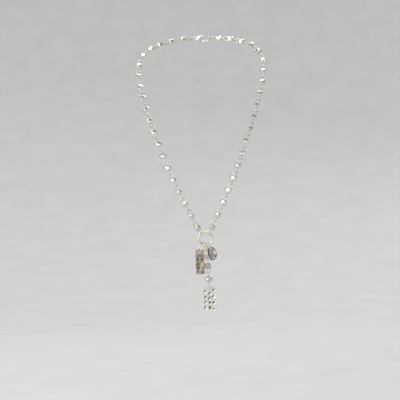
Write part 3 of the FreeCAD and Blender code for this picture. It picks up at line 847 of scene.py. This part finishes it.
DISC_DROP = 8.04
EYE = 1.7
EYE_WIRE = 0.48
EYE_TURN = 39
GROOVE_RADIUS = 6.12
TABLE, BACK = 1.48, 0.33
# Each ring of the crystal's facets: how many, their tilt, how far out and how high, and their start.
CRYSTAL_FACETS = (
    (12, 18, 5.0, 1.05, 0),
    (12, 33, 5.6, 0.62, 15),
    (24, 90, 5.62, 0, 7.5),
    (12, 155, 5.3, 0.12, 0),
)
DISC_PLACE = frame_down(JOINTS["crystal_disc_swing"], leaning(14), turned(51))


def facing_front(bm, height):
    """Turn a solid made about local Z so that its top looks to local -Y, at a height."""
    turn = Matrix.Translation((0, 0, height)) @ Matrix.Rotation(math.radians(90), 4, "X")
    bmesh.ops.transform(bm, matrix=turn, verts=bm.verts[:])


def bezel():
    """A shallow cup with a rolled lip and a milled edge, and a round eye soldered on top."""
    bm = bmesh.new()
    profile = [
        (0.01, -0.9), (4.6, -0.9), (5.75, -0.86), (6.05, -0.7), (6.17, -0.5), (6.2, -0.25),
        (6.12, -0.12), (6.12, 0.08), (6.2, 0.2), (6.2, 0.45), (6.1, 0.62), (5.93, 0.7),
        (5.76, 0.66), (5.7, 0.55), (5.7, -0.34), (5.62, -0.4), (0.01, -0.4),
    ]
    lathe(bm, profile, segments=120)
    facing_front(bm, -DISC_DROP)
    patina = patina_layer(bm)
    for vert in bm.verts:
        out = math.hypot(vert.co.x, vert.co.z + DISC_DROP)
        groove = max(0, 1 - abs(out - GROOVE_RADIUS) / 0.07) * (abs(vert.co.y) < 0.2)
        vert[patina] = groove
    eye = bmesh.new()
    sweep(eye, arc(EYE, 0, 360, 40)[:-1], EYE_WIRE, sides=16, closed=True)
    turn = Matrix.Rotation(math.radians(EYE_TURN), 4, "Z")
    lift = Matrix.Translation((0, 0, CHARM_SEAT - EYE))
    bmesh.ops.transform(eye, matrix=lift @ turn, verts=eye.verts[:])
    piece("bezel_eye", eye, DISC_PLACE, "crystal_disc", ["bezel"], BEZEL_SILVER, 50)
    piece("bezel_cup", bm, DISC_PLACE, "crystal_disc", ["bezel"], BEZEL_SILVER, 50)


def crystal():
    """A low dome cut with a flat table, two rings of crown facets and a shallow facetted back."""
    planes = [(Vector((0, 0, 1)), TABLE), (Vector((0, 0, -1)), BACK)]
    for count, tilt, reach, height, start in CRYSTAL_FACETS:
        for step in range(count):
            angle = math.radians(start + 360 * step / count)
            lean = math.radians(tilt)
            outward = Vector((math.cos(angle), math.sin(angle), 0))
            normal = outward * math.sin(lean) + Vector((0, 0, math.cos(lean)))
            spot = outward * reach + Vector((0, 0, height))
            planes.append((normal, normal.dot(spot)))
    bm = bmesh.new()
    cut_to_planes(bm, planes, 14)
    soften(bm, 0.035, 1)
    facing_front(bm, -DISC_DROP)
    piece("crystal", bm, DISC_PLACE, "crystal_disc", ["crystal"], SMOKY, 8)


bezel()
crystal()


# ---------------------------------------------------------------- drops

BORE = 0.52
SEAM_ANGLE = -97
SEAM_WIDTH = 0.3
UPPER_SHANK = 8.4
LOWER_SHANK = 5.95
OLIVE_SHANK, OLIVE_FOOT, OLIVE_HEAD = 8.7, -3.3, 0.88

def straight_pin(top, low, head):
    """A pin bent to a loop at its top, with a ball at its foot."""
    bm = bmesh.new()
    path = [Vector((0, 0, low)), Vector((0, 0, (low + top) / 2))]
    path += [Vector((side, 0, height)) for side, height in loop_path(LOOP, top)]
    sweep(bm, path, WIRE, sides=12)
    ball = []
    for step in range(1, 16):
        angle = math.pi * step / 16
        ball.append((head * math.sin(angle), low - head * 0.66 - head * math.cos(angle)))
    cap(bm, lathe(bm, ball, segments=28))
    return bm


def grooved_bead(rng):
    """A squarish bead with three grooves turned round it."""

    def squarish(angle, height):
        power = 3.4
        side = (abs(math.cos(angle)) ** power + abs(math.sin(angle)) ** power) ** (-1 / power)
        wobble = 1 + 0.02 * noise.noise(Vector((2 * math.cos(angle), 2 * math.sin(angle), height * 0.8)))
        return side * wobble

    profile = [(BORE, -2.42)]
    grooves = (-1.35, -0.05, 1.25)
    for step in range(61):
        height = -2.46 + 4.92 * step / 60
        edge = smooth(2.5 - abs(height), -0.02, 0.75)
        radius = 1.72 + 0.7 * edge
        for groove in grooves:
            radius -= 0.2 * math.exp(-(((height - groove) / 0.17) ** 2))
        profile.append((radius, height))
    profile.append((BORE, 2.42))
    bm = bmesh.new()
    rings = lathe(bm, profile, segments=96, squareness=squarish)
    bridge(bm, rings[-1], rings[0])
    patina = patina_layer(bm)
    for vert in bm.verts:
        groove = max(math.exp(-(((vert.co.z - groove) / 0.16) ** 2)) for groove in grooves)
        vert[patina] = min(1, 0.95 * groove)
    turn = Matrix.Rotation(rng.uniform(0.1, 0.3), 4, "Z")
    bmesh.ops.transform(bm, matrix=turn, verts=bm.verts[:])
    return bm


def cut_bead(rng, girdle, half, tilts, count, wobble):
    """A faceted bead: a belt of upright facets, and rings of leaning ones above and below."""
    planes = [(Vector((0, 0, 1)), half), (Vector((0, 0, -1)), half)]
    for tilt, distance, start in tilts:
        for step in range(count):
            angle = math.tau * (step + start) / count + rng.uniform(-wobble, wobble)
            for way in (-1, 1) if tilt else (1,):
                lean = math.radians(tilt) * way
                across = math.cos(lean)
                normal = Vector((across * math.cos(angle), across * math.sin(angle), math.sin(lean)))
                planes.append((normal, distance * girdle * (1 - rng.uniform(0, wobble * 0.2))))
    bm = bmesh.new()
    cut_to_planes(bm, planes, 4 * max(girdle, half))
    soften(bm, 0.05, 1)
    return bm


def split_bead(rng):
    """The drop's round bead, cut in facets, with a dark seam down it."""
    bm = cut_bead(rng, 3.3, 2.45, ((0, 1, 0), (32, 0.99, 0.5), (52, 0.93, 0)), 9, 0.1)
    bmesh.ops.subdivide_edges(bm, edges=bm.edges[:], cuts=5, use_grid_fill=True)
    patina = patina_layer(bm)
    seam = math.radians(SEAM_ANGLE)
    for vert in bm.verts:
        angle = math.atan2(vert.co.y, vert.co.x)
        off = abs((angle - seam + math.pi) % math.tau - math.pi) * math.hypot(vert.co.x, vert.co.y)
        vert[patina] = max(0, 1 - off / SEAM_WIDTH)
        vert.co *= 1 - 0.04 * vert[patina]
    return bm


def drops():
    rng = random.Random(11)
    upper = frame_down(JOINTS["upper_bead_spin"], leaning(1), Vector((1, 0, 0)))
    lower = Matrix.Translation(JOINTS["lower_bead_spin"])
    aim = JOINTS["olive_spin"] - JOINTS["olive_swing"]
    olive = frame_down(JOINTS["olive_spin"], aim, Vector((1, 0, 0)))

    def add(name, bm, place, material, sharp_from):
        piece(name, bm, place, name, [name], material, sharp_from)

    pin = eye_pin(rng, top=UPPER_SHANK, low=HALF_LINK, low_facing=True)
    add("drop_pin_upper", pin, upper, CHAIN_SILVER, 60)
    add("drop_bead_upper", grooved_bead(rng), upper, FACET_SILVER, 50)
    pin = eye_pin(rng, top=HALF_LINK, low=LOWER_SHANK, top_facing=False, low_facing=False)
    add("drop_pin_lower", pin, lower, CHAIN_SILVER, 60)
    add("drop_bead_lower", split_bead(rng), lower, FACET_SILVER, 25)
    pin = straight_pin(OLIVE_SHANK, OLIVE_FOOT, OLIVE_HEAD)
    add("olive_pin", pin, olive, CHAIN_SILVER, 60)
    bead = cut_bead(rng, 1.85, 2.95, ((0, 1, 0), (30, 1.32, 0.5), (60, 1.58, 0)), 8, 0.06)
    add("olive_bead", bead, olive, OLIVE, 12)


drops()


# ---------------------------------------------------------------- clasp


def rounded_copy(node, width):
    """The node's own solid with its sharp edges rounded."""
    bm = bmesh.new()
    for thing in bpy.data.objects:
        if thing.get("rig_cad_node") == node and thing.type == "MESH":
            bm.from_mesh(thing.data)
            bmesh.ops.transform(bm, matrix=thing.matrix_world, verts=bm.verts[:])
    bmesh.ops.transform(bm, matrix=Matrix.Scale(1 / MM, 4), verts=bm.verts[:])
    bmesh.ops.remove_doubles(bm, verts=bm.verts[:], dist=0.001)
    flat = math.radians(1)
    bmesh.ops.dissolve_limit(bm, angle_limit=flat, verts=bm.verts[:], edges=bm.edges[:])
    sharp = [edge for edge in bm.edges if edge.is_manifold and edge.calc_face_angle(0) > 0.7]
    bevel(bm, sharp, width, 3)
    patina = patina_layer(bm)
    for vert in bm.verts:
        cloud = noise.noise(vert.co * 0.8)
        vert[patina] = 0.5 * smooth(cloud, 0.1, 0.5)
    return bm


def clasp():
    widths = {"clasp_body": 0.22, "clasp_lever": 0.1, "clasp_rivet": 0.08, "clasp_spring": 0.03}
    for node, width in widths.items():
        body = "clasp_lever" if node == "clasp_lever" else "nape"
        bm = rounded_copy(node, width)
        piece(node + "_shape", bm, Matrix.Identity(4), body, [node], CLASP_SILVER, 40)


clasp()


# ---------------------------------------------------------------- stage


FLOOR_GAP = 0.06
WALL_RADIUS, WALL_CURVE, WALL_TILT = 2.4, 1.7, 78


def stage():
    """A pale floor that curves up all round into a low wall."""
    bm = bmesh.new()
    floor = cad_low.z - FLOOR_GAP
    radius, curve = WALL_RADIUS, WALL_CURVE
    profile = [(0.001, floor), (0.3, floor), (radius - curve, floor)]
    for step in range(1, 25):
        angle = math.radians(WALL_TILT) * step / 24
        profile.append((radius - curve + curve * math.sin(angle), floor + curve * (1 - math.cos(angle))))
    rings = lathe(bm, profile, segments=96)
    bm.faces.new(list(reversed(rings[0])))
    bmesh.ops.recalc_face_normals(bm, faces=bm.faces[:])
    for face in bm.faces:
        face.smooth = True
    mesh = bpy.data.meshes.new("studio_floor")
    bm.to_mesh(mesh)
    bm.free()
    nodes = Nodes("floor_paint")
    grain = nodes.noise(0.02, detail=3)
    colour = nodes.mix(nodes.spread(grain, 0.3, 0.7, 0, 1), (0.76, 0.76, 0.755), (0.8, 0.8, 0.795))
    nodes.set(Base_Color=colour, Roughness=0.9)
    mesh.materials.append(nodes.material)
    ground = bpy.data.objects.new("studio_floor", mesh)
    bpy.context.scene.collection.objects.link(ground)


def area_light(name, place, target, size, brightness):
    """A soft box. Its brightness is what it shows in a mirror."""
    data = bpy.data.lights.new(name, "AREA")
    data.shape = "RECTANGLE"
    data.size, data.size_y = size
    data.energy = brightness * math.pi * size[0] * size[1]
    light = bpy.data.objects.new(name, data)
    light.location = place
    light.rotation_euler = (Vector(target) - Vector(place)).to_track_quat("-Z", "Y").to_euler()
    light.visible_camera = False
    bpy.context.scene.collection.objects.link(light)


def lights():
    centre = (cad_low + cad_high) / 2
    area_light("key", centre + Vector((-0.95, -0.75, 0.5)), centre, (0.6, 1.1), 3.0)
    area_light("fill", centre + Vector((1.1, -0.5, 0.0)), centre, (0.25, 1.0), 1.6)
    area_light("front", centre + Vector((-0.45, -1.7, 0.35)), centre, (1.1, 1.1), 1.5)
    area_light("top", centre + Vector((0, -0.2, 1.5)), centre, (1.0, 1.0), 1.9)
    area_light("back", centre + Vector((0.4, 1.2, 0.9)), centre, (0.9, 0.5), 1.5)
    for side in (-1, 1):
        spot = centre + Vector((side * 0.9, 0.3, 1.2))
        area_light(f"wall_{side + 2}", spot, centre + Vector((side * 0.2, 1.9, -0.1)), (0.8, 0.5), 3)
    world = bpy.data.worlds.new("studio")
    world.use_nodes = True
    world.node_tree.nodes["Background"].inputs["Color"].default_value = (1, 1, 1, 1)
    world.node_tree.nodes["Background"].inputs["Strength"].default_value = 0.35
    bpy.context.scene.world = world


CAMERA_PLACE = Vector((0.0486, -1.17, -0.1768))
CAMERA_TURN, CAMERA_LIFT, CAMERA_ROLL = 2.7, 91.45, -2.14


def camera():
    """The view from the front, a little from the right and from below the middle of the necklace."""
    data = bpy.data.cameras.new("camera")
    data.sensor_width = 36
    data.lens = 116
    data.clip_start = 0.05
    view = bpy.data.objects.new("camera", data)
    turn = Matrix.Rotation(math.radians(CAMERA_TURN), 4, "Z")
    lift = Matrix.Rotation(math.radians(CAMERA_LIFT), 4, "X")
    roll = Matrix.Rotation(math.radians(CAMERA_ROLL), 4, "Z")
    view.matrix_world = Matrix.Translation(CAMERA_PLACE) @ turn @ lift @ roll
    bpy.context.scene.collection.objects.link(view)
    bpy.context.scene.camera = view


stage()
lights()
camera()
bpy.context.scene.view_settings.view_transform = "Standard"
bpy.context.view_layer.update()
